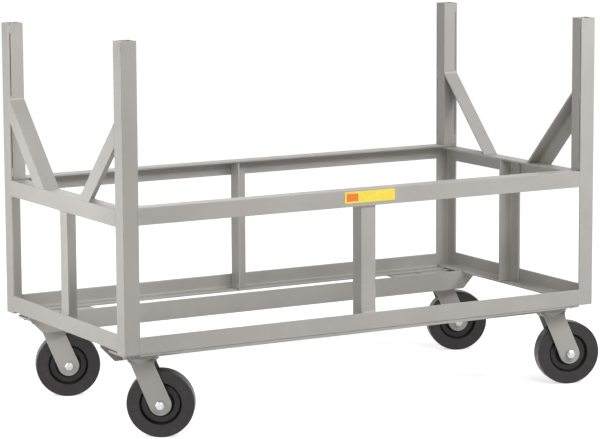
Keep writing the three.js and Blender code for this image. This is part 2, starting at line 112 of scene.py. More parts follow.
KINGPIN_HEAD_RADIUS = 0.014
KINGPIN_HEAD = 0.005
KINGPIN_HEAD_EDGE = 0.0016
KINGPIN_SEAT_EDGE = 0.0006
KINGPIN_NUT_RADIUS = 0.015
KINGPIN_NUT = 0.011
KINGPIN_NUT_CHAMFER = (0.001, 0.0015)
SWIVEL_CLEARANCE = 0.0006
SWIVEL_BORE = KINGPIN_RADIUS + SWIVEL_CLEARANCE

# Fork, bent from one plate
FORK_WALL = 0.00635
FORK_INSIDE = 0.0635
FORK_TOP_WIDTH = 0.069
FORK_TOP_OFFSET = 0.0005
FORK_TIP_RADIUS = 0.033
FORK_SHOULDER_DEPTH = 0.02
FORK_SHOULDER_TURN = 0.033
FORK_BEND = 0.009
FORK_EDGE = 0.0016
CROWN_DISC_RADIUS = 0.0535
CROWN_DISC_ENDS = (math.radians(38), math.radians(151))
SKIRT_INNER = 0.033
SKIRT_FOOT = 0.0385
SKIRT_DEPTH = 0.0165

# Wheel, bearing and axle
WHEEL_RADIUS = 0.1016
WHEEL_WIDTH = 0.0508
SHOULDER_RADIUS = 0.0992
SHOULDER_DEPTH = 0.0024
SHOULDER_EDGE = 0.0006
TREAD_CROWN = 0.0004
TREAD_CORNER = 0.0008
TREAD_EDGE = 0.0048
TREAD_EDGE_RADIUS = 0.002
RIM_RADIUS = 0.0632
RIM_EDGE = 0.0014
RIM_FOOT = 0.0575
RIM_FOOT_RADIUS = 0.004
RIM_RECESS = 0.013
HUB_RADIUS = 0.0335
HUB_EDGE = 0.0022
HUB_FOOT = 0.0405
HUB_FOOT_RADIUS = 0.003
HUB_WIDTH = 0.056
HUB_BORE = 0.016
HUB_BORE_EDGE = 0.0006
BEARING_RADIUS = 0.0157
BEARING_LENGTH = 0.06
BEARING_EDGE = 0.0008
BEARING_BORE_EDGE = 0.0004
AXLE_RADIUS = 0.00794
AXLE_HOLE = 0.00834
AXLE_HEX = 0.0137
AXLE_HEAD = 0.0099
AXLE_NUT_END = 0.014
AXLE_TIP = 0.003
AXLE_SEAT_CHAMFER = (0.0006, 0.0008)
AXLE_HEAD_CHAMFER = (0.0012, 0.0016)
AXLE_NUT_CHAMFER = (0.0014, 0.0022)
DIMPLE_DEPTH = 0.0012
DIMPLE_FOOT = 0.42 * AXLE_RADIUS
DIMPLE_RIM = 0.55 * AXLE_RADIUS
THREAD_PITCH = 0.0016
THREAD_DEPTH = 0.0007
THREAD_END_DEPTH = 1.4 * THREAD_DEPTH

# Label plate, and its printed block in shares of the plate's length and height
LABEL_CORNER = 0.0025
LABEL_EDGE = 0.0003
BLOCK_CENTRE = -0.345
BLOCK_HALF_LENGTH = 0.115
BLOCK_HALF_HEIGHT = 0.33

# Facets and tolerances
SAW_STEPS = 1
SMALL_STEPS = 2
EDGE_STEPS = 3
CORNER_STEPS = 4
RIM_STEPS = 5
PLATE_STEPS = 6
BEND_STEPS = 8
DISC_STEPS = 8
CURVE_STEPS = 14
BOLT_STEPS = 24
TURNED_STEPS = 48
RACE_STEPS = 96
WHEEL_STEPS = 128
SMOOTH_ANGLE = math.radians(32)
LEAST_MITRE = 0.3
CUT_TOLERANCE = 1e-6
BEND_TOLERANCE = 1e-7

# Colours and layers of the materials. A noise ramp is its scale, its detail and
# the ramp's stops. A relief is its scale, detail, strength and distance. Rings
# are their spacing, strength and distance.
WHITE = (1, 1, 1, 1)
ENAMEL = {"IOR": 1.48, "Specular IOR Level": 0.38}
ENAMEL_DRIFT = (5, 3, [(0.3, (0.395, 0.375, 0.353)), (0.7, (0.43, 0.41, 0.386))])
ENAMEL_FLECKS = (900, 2, [(0.24, 1.0), (0.3, 0.0)])
FLECK_COLOUR = (0.31, 0.29, 0.27, 1)
ENAMEL_STREAKS = (26, 4, [(0.64, 0.0), (0.74, 0.35)], (1, 1, 7))
STREAK_COLOUR = (0.5, 0.482, 0.46, 1)
ENAMEL_GLOSS = (38, 4, [(0.3, 0.34), (0.72, 0.48)])
ENAMEL_WAVES = (16, 3, 0.35, 0.0011)
ENAMEL_PEEL = (330, 2, 0.2, 0.00022)
WELD_DRIFT = (120, 3, [(0.3, (0.385, 0.365, 0.343)), (0.7, (0.45, 0.43, 0.405))])
WELD_GLOSS = (260, 3, [(0.3, 0.3), (0.7, 0.46)])
WELD_SPATTER = (700, 3, 0.4, 0.00035)
RESIN = {"IOR": 1.52, "Specular IOR Level": 0.36}
RESIN_DRIFT = (70, 5, [(0.32, (0.016, 0.014, 0.014)), (0.66, (0.026, 0.022, 0.022))])
CHIP_SCALE = 420.0
CHIP_STOPS = [(0.06, 1.0), (0.16, 0.0)]
CHIP_COLOUR = (0.055, 0.044, 0.038, 1)
RESIN_SCUFFS = (34, 5, [(0.6, 0.0), (0.75, 0.45)])
SCUFF_COLOUR = (0.05, 0.043, 0.04, 1)
# Painted shade: the near-black colour given to the wheels' recesses and hubs inside the rim, not a colour
# of the phenolic
RECESS_SHADE_COLOUR = (0.01, 0.009, 0.009, 1)
RESIN_GLOSS = (90, 4, [(0.3, 0.28), (0.7, 0.44)])
RESIN_RINGS = (0.0019, 0.1, 0.0002)
RESIN_GRAIN = (620, 3, 0.22, 0.0002)
ZINC_TONE = (160, 4, [(0.3, (0.5, 0.51, 0.53)), (0.7, (0.64, 0.65, 0.66))])
ZINC_GLOSS = (420, 3, [(0.3, 0.24), (0.7, 0.38)])
ZINC_RINGS = (0.0007, 0.06, 0.0001)
STEEL_TONE = (160, 4, [(0.3, (0.3, 0.3, 0.3)), (0.7, (0.42, 0.42, 0.43))])
STEEL_GLOSS = (420, 3, [(0.3, 0.3), (0.7, 0.45)])
STEEL_RINGS = (0.0005, 0.06, 0.0001)
METAL_GRAIN = (1500, 2, 0.12, 0.0001)
STOCK = {"IOR": 1.5}
STOCK_DRIFT = (60, 3, [(0.3, (0.86, 0.66, 0.06)), (0.7, (0.92, 0.74, 0.1))])
BLOCK_COLOUR = (0.83, 0.2, 0.03, 1)
STOCK_GLOSS = (150, 3, [(0.3, 0.24), (0.7, 0.36)])
STOCK_WRINKLES = (45, 3, 0.15, 0.0004)
FLOOR = {"Base Color": (0.8, 0.8, 0.8, 1), "Roughness": 0.9, "Specular IOR Level": 0.0,
         "Emission Color": WHITE}

# Sockets of a colour mix node
MIX_FACTOR = 0
MIX_LOW = 6
MIX_HIGH = 7
MIX_RESULT = 2

# Camera, measured from the middle of the frame's underside
CAMERA_PLACE = Vector((-4.24134, -7.46989, 1.57183))
CAMERA_YAW = 29.579
CAMERA_PITCH = 8.5271
CAMERA_ROLL = 0.2791
CAMERA_LENS = 164.31
SENSOR_WIDTH = 36

# Lamps: place and aim from the middle of the footprint, size and power
LAMPS = {
    "front_high": ((0.3, -2.6, 2.9), (0, 0, 0.6), (2.6, 1.4), 80),
    "front_right": ((2.6, -2.4, 2.6), (0.3, 0, 0.6), (1.6, 1.6), 60),
    "left_end": ((-1.9, 0, 0.9), (-0.8, 0, 0.6), (0.9, 0.9), 15),
    "rear_high": ((0, 2.6, 2.8), (0, 0, 0.6), (2.6, 1.4), 42),
}
AMBIENT_LEVEL = 0.05
FLOOR_HALF = 30

# The floor's own glow grows from the cart's edge to beyond the lamps' reach
LIT_RADIUS = (1.4, 4.5)
FLOOR_GLOW = (0.66, 1.0)

X = Vector((1, 0, 0))
Y = Vector((0, 1, 0))
Z = Vector((0, 0, 1))
AXES = (X, Y, Z)

CORNERS = {"fl": (-1, -1), "fr": (1, -1), "rl": (-1, 1), "rr": (1, 1)}
SIDES = {"front": -1, "rear": 1}
# Each side of the frame: name, axis across it, and its sign on that axis
FACES = (("front", 1, -1), ("rear", 1, 1), ("left", 0, -1), ("right", 0, 1))
# Sides whose outer faces bound the whole cart, so that no bead may stand proud
BOUNDING_FACES = ("rear", "left")
STRUT_HEELS = {"front": (-1, -1), "rear": (-1, 1), "left": (-1, 1), "right": (1, 1)}


def low(node, axis):
    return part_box(node)[0][axis]


def high(node, axis):
    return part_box(node)[1][axis]


def inner_outer(node, axis, sign):
    """A node's two faces across an axis, the one nearer the cart's middle first."""
    faces = (low(node, axis), high(node, axis))
    return faces[::-1] if sign < 0 else faces


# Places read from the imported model
OUTER_X = (low("corner_post_fl", 0), high("corner_post_fr", 0))
OUTER_Y = (low("corner_post_fl", 1), high("corner_post_rl", 1))
OUTER = (OUTER_X, OUTER_Y)
CENTRE = Vector((sum(OUTER_X) / 2, sum(OUTER_Y) / 2, low("corner_post_fl", 2)))
LEG = high("corner_post_fl", 0) - OUTER_X[0]
PLATE_TOP = low("caster_pad_fl", 2) - WELD_GAP
PAD_TOP = high("caster_pad_fl", 2)
PLATE_BOTTOM = PLATE_TOP - PLATE_THICKNESS
UPPER_RACE_BOTTOM = PLATE_BOTTOM - UPPER_RACE_DEPTH
LOWER_RACE_TOP = UPPER_RACE_BOTTOM - RACE_GAP
CROWN_TOP = LOWER_RACE_TOP - LOWER_RACE_DEPTH
JOINTS = {joint["name"]: joint for joint in frame["joints"]}

# Middle of the fork's plate, and where it bends
LEG_MIDDLE = FORK_INSIDE / 2 + FORK_WALL / 2
CROWN_MIDDLE = CROWN_TOP - FORK_WALL / 2
BEND_START = LEG_MIDDLE - FORK_BEND
BEND_END = BEND_START + FORK_BEND * math.pi / 2
LEG_TOP = CROWN_MIDDLE - FORK_BEND

# Where each point of a piece lies before the piece is put in its place
LOCAL_PLACE = "local_place"


# Node materials

def add_node(tree, kind, inputs=None, **settings):
    """A new node. Its inputs are values, or output sockets to link to them."""
    node = tree.nodes.new(kind)
    for key, value in settings.items():
        setattr(node, key, value)
    for key, value in (inputs or {}).items():
        if isinstance(value, bpy.types.NodeSocket):
            tree.links.new(value, node.inputs[key])
        else:
            node.inputs[key].default_value = value
    return node


def maths(operation, *values):
    """The result of a math node. The first value is a socket."""
    tree = values[0].id_data
    return add_node(tree, "ShaderNodeMath", dict(enumerate(values)), operation=operation).outputs["Value"]


def length_of(vector):
    node = add_node(vector.id_data, "ShaderNodeVectorMath", {0: vector}, operation="LENGTH")
    return node.outputs["Value"]


def shaded(name, shader):
    """A material, its tree and its shader, which has the given input values."""
    material = bpy.data.materials.new(name)
    material.use_nodes = True
    tree = material.node_tree
    surface = tree.nodes["Principled BSDF"]
    for key, value in shader.items():
        surface.inputs[key].default_value = value
    return material, tree, surface


def new_material(name, shader):
    """A material, and the socket of its piece's local places."""
    material, tree, _ = shaded(name, shader)
    place = add_node(tree, "ShaderNodeAttribute", attribute_name=LOCAL_PLACE)
    return material, place.outputs["Vector"]


def dressed(material, colour, gloss, normal):
    tree = material.node_tree
    entries = tree.nodes["Principled BSDF"].inputs
    for key, source in (("Base Color", colour), ("Roughness", gloss), ("Normal", normal)):
        tree.links.new(source, entries[key])
    return material


def noise_at(place, scale, detail, stretch=(1, 1, 1)):
    tree = place.id_data
    mapping = add_node(tree, "ShaderNodeMapping", {"Vector": place, "Scale": stretch})
    inputs = {"Vector": mapping.outputs["Vector"], "Scale": scale, "Detail": detail}
    return add_node(tree, "ShaderNodeTexNoise", inputs).outputs["Fac"]


def ramp(level, stops):
    node = add_node(level.id_data, "ShaderNodeValToRGB", {"Fac": level})
    while len(node.color_ramp.elements) < len(stops):
        node.color_ramp.elements.new(1)
    for element, (position, colour) in zip(node.color_ramp.elements, stops):
        element.position = position
        element.color = (*colour, 1) if isinstance(colour, tuple) else (colour, colour, colour, 1)
    return node.outputs["Color"]


def noise_ramp(place, scale, detail, stops, *stretch):
    return ramp(noise_at(place, scale, detail, *stretch), stops)


def mixed(factor, low_colour, high_colour):
    """Mixes two colours, each with its alpha or from a socket."""
    inputs = {MIX_FACTOR: factor, MIX_LOW: low_colour, MIX_HIGH: high_colour}
    node = add_node(factor.id_data, "ShaderNodeMix", inputs, data_type="RGBA")
    return node.outputs[MIX_RESULT]


def bump(height, strength, distance, before=None):
    inputs = {"Height": height, "Strength": strength, "Distance": distance}
    if before:
        inputs["Normal"] = before
    return add_node(height.id_data, "ShaderNodeBump", inputs).outputs["Normal"]


def relief(place, scale, detail, strength, distance, before=None):
    return bump(noise_at(place, scale, detail), strength, distance, before)


def split(place):
    return add_node(place.id_data, "ShaderNodeSeparateXYZ", {"Vector": place}).outputs


def axis_distance(place):
    """Distance from the local Z axis."""
    parts = split(place)
    flat = add_node(place.id_data, "ShaderNodeCombineXYZ", {"X": parts["X"], "Y": parts["Y"]})
    return length_of(flat.outputs["Vector"])


def ring_relief(place, spacing, strength, distance):
    """Fine rings about the local Z axis, as a turning tool leaves them."""
    wave = maths("SINE", maths("MULTIPLY", axis_distance(place), math.tau / spacing))
    return bump(wave, strength, distance)


def paint_material():
    """Light grey gloss enamel over hot-rolled steel."""
    material, place = new_material("grey_enamel", ENAMEL)
    speckled = mixed(noise_ramp(place, *ENAMEL_FLECKS), noise_ramp(place, *ENAMEL_DRIFT), FLECK_COLOUR)
    rubbed = mixed(noise_ramp(place, *ENAMEL_STREAKS), speckled, STREAK_COLOUR)
    peel = relief(place, *ENAMEL_PEEL, relief(place, *ENAMEL_WAVES))
    return dressed(material, rubbed, noise_ramp(place, *ENAMEL_GLOSS), peel)


def weld_material():
    """The same enamel over a rippled weld bead."""
    material, place = new_material("grey_enamel_weld", ENAMEL)
    spatter = relief(place, *WELD_SPATTER)
    return dressed(material, noise_ramp(place, *WELD_DRIFT), noise_ramp(place, *WELD_GLOSS), spatter)


def phenolic_material():
    """Moulded phenolic filled with chopped canvas, with turned side faces. Inside the rim's foot
    the colour is painted shade: the recesses and hub go near black as if lying in shadow."""
    material, place = new_material("black_phenolic", RESIN)
    tree = material.node_tree
    chips = add_node(tree, "ShaderNodeTexVoronoi", {"Vector": place, "Scale": CHIP_SCALE})
    canvas = ramp(chips.outputs["Distance"], CHIP_STOPS)
    filled = mixed(canvas, noise_ramp(place, *RESIN_DRIFT), CHIP_COLOUR)
    worn = mixed(noise_ramp(place, *RESIN_SCUFFS), filled, SCUFF_COLOUR)
    # Painted shade: the colour fades from the rim's edge to near black at the rim's foot and stays near
    # black over the recess and hub
    limits = {"Value": axis_distance(place), "From Min": RIM_FOOT, "From Max": RIM_RADIUS}
    rim = add_node(tree, "ShaderNodeMapRange", limits)
    recess_shaded = mixed(rim.outputs["Result"], RECESS_SHADE_COLOUR, worn)
    grain = relief(place, *RESIN_GRAIN, ring_relief(place, *RESIN_RINGS))
    return dressed(material, recess_shaded, noise_ramp(place, *RESIN_GLOSS), grain)


def metal_material(name, tone, gloss, rings):
    """Bright metal with a faint turned or plated grain."""
    material, place = new_material(name, {"Metallic": 1.0})
    grain = relief(place, *METAL_GRAIN, ring_relief(place, *rings))
    return dressed(material, noise_ramp(place, *tone), noise_ramp(place, *gloss), grain)


def label_material(length, height):
    """Plain yellow plate with an orange block near its left end."""
    material, place = new_material("yellow_label", STOCK)
    parts = split(place)
    masks = []
    for axis, centre, half in (("X", BLOCK_CENTRE * length, BLOCK_HALF_LENGTH * length),
                               ("Z", 0.0, BLOCK_HALF_HEIGHT * height)):
        away = maths("ABSOLUTE", maths("SUBTRACT", parts[axis], centre))
        masks.append(maths("LESS_THAN", away, half))
    printed = mixed(maths("MULTIPLY", *masks), noise_ramp(place, *STOCK_DRIFT), BLOCK_COLOUR)
    return dressed(material, printed, noise_ramp(place, *STOCK_GLOSS), relief(place, *STOCK_WRINKLES))


PAINT = paint_material()
WELD = weld_material()
PHENOLIC = phenolic_material()
ZINC = metal_material("zinc_plate", ZINC_TONE, ZINC_GLOSS, ZINC_RINGS)
STEEL = metal_material("bearing_steel", STEEL_TONE, STEEL_GLOSS, STEEL_RINGS)


# Outlines

def rounded(corners, steps=CORNER_STEPS):
    """Closed outline through (x, y, radius) corners, each rounded with its radius."""
    outline = []
    for i, (x, y, radius) in enumerate(corners):
        here = Vector((x, y))
        if not radius:
            outline.append(here)
            continue
        back = (Vector(corners[i - 1][:2]) - here).normalized()
        ahead = (Vector(corners[(i + 1) % len(corners)][:2]) - here).normalized()
        half = back.angle(ahead) / 2
        centre = here + (back + ahead).normalized() * radius / math.sin(half)
        start = here + back * radius / math.tan(half) - centre
        end = here + ahead * radius / math.tan(half) - centre
        turn = math.atan2(start.cross(end), start.dot(end))
        outline += [centre + Matrix.Rotation(turn * k / steps, 2) @ start for k in range(steps + 1)]
    return outline


def rectangle(first, last, radius, steps=CORNER_STEPS):
    """Outline between two (x, y) corners, with all four rounded."""
    (x0, y0), (x1, y1) = first, last
    return rounded([(x, y, radius) for x, y in ((x0, y0), (x1, y0), (x1, y1), (x0, y1))], steps)


def inset(outline, depth):
    """A counter-clockwise outline moved inwards by a small depth."""
    moved = []
    for i, here in enumerate(outline):
        into = here - outline[i - 1]
        out = outline[(i + 1) % len(outline)] - here
        normals = [Vector((-edge.y, edge.x)).normalized() for edge in (into, out)]
        middle = (normals[0] + normals[1]).normalized()
        moved.append(here + middle * depth / max(middle.dot(normals[0]), LEAST_MITRE))
    return moved


def arc(centre, radius, start, end, steps):
    return [Vector((centre[0] + radius * math.cos(a), centre[1] + radius * math.sin(a)))
            for a in (start + (end - start) * k / steps for k in range(steps + 1))]


def curve(start, control, end):
    """Quadratic curve between two points, without its end points."""
    points = []
    for k in range(1, CURVE_STEPS):
        t = k / CURVE_STEPS
        points.append(start * (1 - t) ** 2 + control * 2 * t * (1 - t) + end * t * t)
    return points


def hexagon(radius):
    """Hexagon with soft corners. The radius runs to a sharp corner."""
    angles = [math.tau * k / 6 for k in range(6)]
    return rounded([(radius * math.cos(a), radius * math.sin(a), HEX_CORNER) for a in angles], SMALL_STEPS)


def soft_levels(start, end, edge, steps=EDGE_STEPS):
    """(height, inset) pairs of a prism whose end faces have rounded edges."""
    ease = [(edge * (1 - math.cos(a)), edge * (1 - math.sin(a)))
            for a in (math.pi / 2 * k / steps for k in range(steps + 1))]
    return [(start + h, d) for h, d in ease] + [(end - h, d) for h, d in reversed(ease)]


def chamfered(start, end, first, last):
    """(height, inset) pairs of a prism whose ends have the chamfers first and last."""
    return [(start, first[1]), (start + first[0], 0), (end - last[0], 0), (end, last[1])]


# Meshes

def basis(origin, a, b, c):
    """Matrix that carries local x, y and z to the directions a, b and c at origin."""
    matrix = Matrix((a, b, c)).transposed().to_4x4()
    matrix.translation = origin
    return matrix


def add_rings(bm, rings, closed=False):
    pairs = zip(rings, rings[1:] + rings[:1]) if closed else zip(rings, rings[1:])
    for near, far in pairs:
        for i in range(len(near)):
            j = (i + 1) % len(near)
            corners = []
            for vertex in (near[i], near[j], far[j], far[i]):
                if vertex not in corners:
                    corners.append(vertex)
            if len(corners) > 2:
                bm.faces.new(corners)


def prism(outline, levels, place=Matrix(), bm=None):
    """Prism of an outline through (height, inset) levels, closed at both ends. It
    goes into bm, or into a new bmesh."""
    bm = bm or bmesh.new()
    rings = []
    for height, depth in levels:
        ring = inset(outline, depth) if depth else outline
        rings.append([bm.verts.new(place @ Vector((x, y, height))) for x, y in ring])
    add_rings(bm, rings)
    bm.faces.new(rings[0][::-1])
    bm.faces.new(rings[-1])
    return bm


def turned(section, steps=TURNED_STEPS, place=Matrix(), bm=None):
    """Turns a closed (radius, height) section about the local Z axis."""
    bm = bm or bmesh.new()
    angles = [math.tau * k / steps for k in range(steps)]
    rings = []
    for radius, height in section:
        if radius:
            ring = [Vector((radius * math.cos(a), radius * math.sin(a), height)) for a in angles]
            rings.append([bm.verts.new(place @ point) for point in ring])
        else:
            rings.append([bm.verts.new(place @ Vector((0, 0, height)))] * steps)
    add_rings(bm, rings, closed=True)
    return bm


def block(corner_a, corner_b):
    """A bmesh box between two corners."""
    pairs = list(zip(corner_a, corner_b))
    first, last = Vector(map(min, pairs)), Vector(map(max, pairs))
    return prism(rectangle(first.xy, last.xy, 0), [(first.z, 0), (last.z, 0)])


def new_piece(name, bm, material, body, place=Matrix(), replaces=()):
    """Makes a smooth-shaded object of a bmesh, puts its points in their place and
    rides it on a body. Materials follow the points as they were before that."""
    bmesh.ops.recalc_face_normals(bm, faces=bm.faces)
    local = bm.verts.layers.float_vector.new(LOCAL_PLACE)
    for vertex in bm.verts:
        vertex[local] = vertex.co
    bm.transform(place)
    for face in bm.faces:
        face.smooth = True
    for edge in bm.edges:
        edge.smooth = len(edge.link_faces) == 2 and edge.calc_face_angle(math.pi) < SMOOTH_ANGLE
    mesh = bpy.data.meshes.new(name)
    bm.to_mesh(mesh)
    bm.free()
    mesh.materials.append(material)
    piece = bpy.data.objects.new(name, mesh)
    bpy.context.scene.collection.objects.link(piece)
    shading = piece.modifiers.new("face_weighted_normals", "WEIGHTED_NORMAL")
    shading.keep_sharp = True
    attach(piece, body)
    if replaces:
        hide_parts(*replaces)


def frame_steel(node, bm):
    """The painted piece that takes the place of one node of the frame."""
    new_piece(f"{node}_steel", bm, PAINT, "frame", replaces=[node])


def combined(bm, tools):
    """A bmesh after the boolean steps (operation, bmesh) in tools."""
    holders = []
    for part in [bm] + [tool for _, tool in tools]:
        bmesh.ops.recalc_face_normals(part, faces=part.faces)
        mesh = bpy.data.meshes.new("boolean")
        part.to_mesh(mesh)
        part.free()
        holder = bpy.data.objects.new("boolean", mesh)
        bpy.context.scene.collection.objects.link(holder)
        holders.append(holder)
    for (operation, _), holder in zip(tools, holders[1:]):
        step = holders[0].modifiers.new("boolean", "BOOLEAN")
        step.operation = operation
        step.solver = "EXACT"
        step.object = holder
    graph = bpy.context.evaluated_depsgraph_get()
    result = bmesh.new()
    result.from_mesh(holders[0].evaluated_get(graph).to_mesh())
    for holder in holders:
        mesh = holder.data
        bpy.data.objects.remove(holder)
        bpy.data.meshes.remove(mesh)
    return result


def drill(radius, bottom, top, place=Matrix()):
    """The boolean step that cuts a round hole along the local Z axis."""
    section = [(0, bottom), (radius, bottom), (radius, top), (0, top)]
    return ("DIFFERENCE", turned(section, place=place))


def bisected(bm, tolerance, point, normal, clear_outer=False):
    """Cuts a bmesh along a plane and gives what the cut made."""
    geometry = bm.verts[:] + bm.edges[:] + bm.faces[:]
    return bmesh.ops.bisect_plane(bm, geom=geometry, dist=tolerance, plane_co=point, plane_no=normal,
                                  clear_outer=clear_outer)


# Angle bars of the frame

def angle_section(leg_a, leg_b):
    """Rolled angle with its heel at the origin and its legs along +x and +y."""
    return rounded([
        (0, 0, HEEL_RADIUS),
        (leg_a, 0, TOE_RADIUS),
        (leg_a, WALL, TOE_INNER_RADIUS),
        (WALL, WALL, ROOT_RADIUS),
        (WALL, leg_b, TOE_INNER_RADIUS),
        (0, leg_b, TOE_RADIUS),
    ])


def angle_bar(node, axis, heel):
    """Angle bar in a node's box. heel gives, for the two axes after the bar's
    own, whether the heel is at the box's low (-1) or high (+1) side."""
    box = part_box(node)
    across = [(axis + 1) % 3, (axis + 2) % 3]
    origin = box[0].copy()
    directions = []
    for sign, k in zip(heel, across):
        origin[k] = box[0][k] if sign < 0 else box[1][k]
        directions.append(AXES[k] * -sign)
    sizes = [box[1][k] - box[0][k] for k in across]
    length = box[1][axis] - box[0][axis]
    chamfer = (SAW_CHAMFER, SAW_CHAMFER)
    place = basis(origin, *directions, AXES[axis])
    return prism(angle_section(*sizes), chamfered(0, length, chamfer, chamfer), place)


def coped(bm, node, axis, across, sign):
    """Cuts a rail's outer leg back at both ends, so that it stops at the posts."""
    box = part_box(node)
    margin = Vector((LEG, LEG, LEG))
    face = box[0][across] if sign < 0 else box[1][across]
    cutters = []
    for end, inward in ((box[0][axis], 1), (box[1][axis], -1)):
        corner_a = box[0] - margin
        corner_b = box[1] + margin
        corner_a[axis] = end - inward * LEG
        corner_b[axis] = end + inward * (LEG - WALL)
        corner_a[across] = face + sign * LEG
        corner_b[across] = face - sign * (WALL + WELD_GAP)
        cutters.append(("DIFFERENCE", block(corner_a, corner_b)))
    return combined(bm, cutters)


def make_uprights():
    bars = []
    for corner, (x, y) in CORNERS.items():
        bars += [(f"corner_post_{corner}", (x, y)), (f"post_box_angle_{corner}", (-x, -y))]
    bars += [(f"mid_strut_{side}", heel) for side, heel in STRUT_HEELS.items()]
    for node, heel in bars:
        frame_steel(node, angle_bar(node, 2, heel))


def make_rails():
    for level, up in (("upper", 1), ("lower", -1)):
        for side, across, sign in FACES:
            node = f"{level}_rail_{side}"
            along = 1 - across
            heel = (up, sign) if along else (sign, up)
            frame_steel(node, coped(angle_bar(node, along, heel), node, along, across, sign))


def make_braces():
    """Diagonal angles between the upper end rails and the posts, cut to fit both."""
    for corner, (x, y) in CORNERS.items():
        node = f"end_brace_{corner}"
        outer_x = inner_outer(node, 0, x)[1]
        foot_y, post_y = inner_outer(node, 1, y)
        foot = Vector((outer_x, foot_y, low(node, 2)))
        top = Vector((outer_x, post_y, high(node, 2)))
        along = (top - foot).normalized()
        inward = X * -x
        down = inward.cross(along)
        if down.z > 0:
            down = -down
        spare = LEG * 2
        length = (top - foot).length + 2 * spare
        place = basis(foot - along * spare, inward, down, along)
        bm = prism(angle_section(LEG, LEG), [(0, 0), (length, 0)], place)
        for point, normal in ((top, Y * y), (foot, -Z)):
            cut = bisected(bm, CUT_TOLERANCE, point, normal, clear_outer=True)
            edges = [item for item in cut["geom_cut"] if isinstance(item, bmesh.types.BMEdge)]
            bmesh.ops.edgenet_fill(bm, edges=edges)
        frame_steel(node, bm)


# Flat bars and plates under the frame

def make_stringers():
    """Bars on edge along the floor frame, with ends cut back at 45 degrees."""
    shoulder = low("lower_rail_left", 2) - 2 * WELD_GAP
    inner_x = (high("lower_rail_left", 0) + WELD_GAP, low("lower_rail_right", 0) - WELD_GAP)
    for side in SIDES:
        node = f"stringer_{side}"
        box_low, box_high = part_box(node)
        drop = CENTRE.z - box_low.z
        outline = rounded([
            (box_low.x + drop, box_low.z, FLAT_EDGE),
            (box_high.x - drop, box_low.z, FLAT_EDGE),
            (box_high.x, CENTRE.z, FLAT_EDGE),
            (box_high.x, shoulder, FLAT_EDGE),
            (inner_x[1], shoulder, 0),
            (inner_x[1], box_high.z, FLAT_EDGE),
            (inner_x[0], box_high.z, FLAT_EDGE),
            (inner_x[0], shoulder, 0),
            (box_low.x, shoulder, FLAT_EDGE),
            (box_low.x, CENTRE.z, FLAT_EDGE),
        ], EDGE_STEPS)
        levels = soft_levels(box_low.y, box_high.y, FLAT_EDGE)
        frame_steel(node, prism(outline, levels, basis(Vector(), X, Z, Y)))


def make_sill_bars():
    for side in SIDES:
        node = f"sill_bar_{side}"
        box_low, box_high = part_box(node)
        outline = rectangle(box_low.yz, box_high.yz, FLAT_EDGE, EDGE_STEPS)
        levels = soft_levels(box_low.x, box_high.x, SAW_CHAMFER, SAW_STEPS)
        frame_steel(node, prism(outline, levels, basis(Vector(), Y, Z, X)))


def make_pads():
    """Plates between side rail and stringer, with a notch round the post."""
    for corner, (x, y) in CORNERS.items():
        node = f"caster_pad_{corner}"
        bottom, top = low(node, 2), high(node, 2)
        far_x, end_x = inner_outer(node, 0, x)
        inner_y, outer_y = inner_outer(node, 1, y)
        notch_x = OUTER_X[x > 0] - x * (LEG + WELD_GAP)
        notch_y = OUTER_Y[y > 0] - y * (LEG + WELD_GAP)
        corners = [(far_x, inner_y), (end_x, inner_y), (end_x, notch_y),
                   (notch_x, notch_y), (notch_x, outer_y), (far_x, outer_y)]
        if x * y < 0:
            corners.reverse()
        outline = rounded([(px, py, FLAT_EDGE) for px, py in corners], EDGE_STEPS)
        bm = prism(outline, soft_levels(bottom, top, FLAT_EDGE))
        pivot = JOINTS[f"swivel_{corner}"]["pos_m"]
        place = Matrix.Translation((pivot[0], pivot[1], 0))
        hole = drill(KINGPIN_HEAD_RADIUS + WELD_GAP, bottom - WALL, top + WALL, place)
        frame_steel(node, combined(bm, [hole]))


def make_label():
    node = "label_plate"
    box_low, box_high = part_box(node)
    size = box_high - box_low
    centre = (box_low + box_high) / 2
    half = size.xz / 2
    levels = soft_levels(-size.y / 2, size.y / 2, LABEL_EDGE, SMALL_STEPS)
    bm = prism(rectangle(-half, half, LABEL_CORNER), levels, basis(Vector(), X, Z, Y))
    new_piece("label_plate_print", bm, label_material(size.x, size.z), "frame",
              Matrix.Translation(centre), [node])


# Weld beads

def add_bead(bm, start, end, side_a, side_b, out, rise):
    """Bead from start to end. Its foot reaches side_a and side_b from the seam,
    and its crown stands out by rise, in ripples, with rounded ends."""
    start, end = Vector(start), Vector(end)
    run = end - start
    along = run.normalized()
    ripples = max(2, round(run.length / RIPPLE_PITCH))
    count = ripples * RINGS_PER_RIPPLE
    reach = side_a.length
    rings = []
    for k in range(count + 1):
        share = k / count
        place = start + run * share
        from_end = min(share, 1 - share) * run.length
        taper = math.sqrt(max(BEAD_END_SHARE, min(1, from_end / reach)))
        wander = 1 + WANDER_SHARE * noise.noise(place * WANDER_SCALE)
        ripple = 1 - RIPPLE_DEPTH_SHARE * abs(math.sin(math.pi * share * ripples))
        foot_a = place + side_a * taper * wander
        foot_b = place + side_b * taper * wander
        middle = (foot_a + foot_b) / 2
        half = (foot_a - foot_b) / 2
        ring = []
        for j in range(BEAD_STEPS + 1):
            angle = math.pi * j / BEAD_STEPS
            lift = math.sin(angle)
            crescent = along * (CRESCENT_SHARE * RIPPLE_PITCH * lift * taper)
            crown = out * (rise * taper * ripple * lift)
            ring.append(middle + half * math.cos(angle) + crown + crescent)
        ring.append(place - out * BEAD_SINK)
        rings.append([bm.verts.new(point) for point in ring])
    add_rings(bm, rings)
    bm.faces.new(rings[0][::-1])
    bm.faces.new(rings[-1])


def butt(bm, start, end, across, out, width=BUTT_WIDTH):
    """Bead in the plane of two faces that meet, along their seam."""
    add_bead(bm, start, end, across * width, across * -width, out, BUTT_RISE)


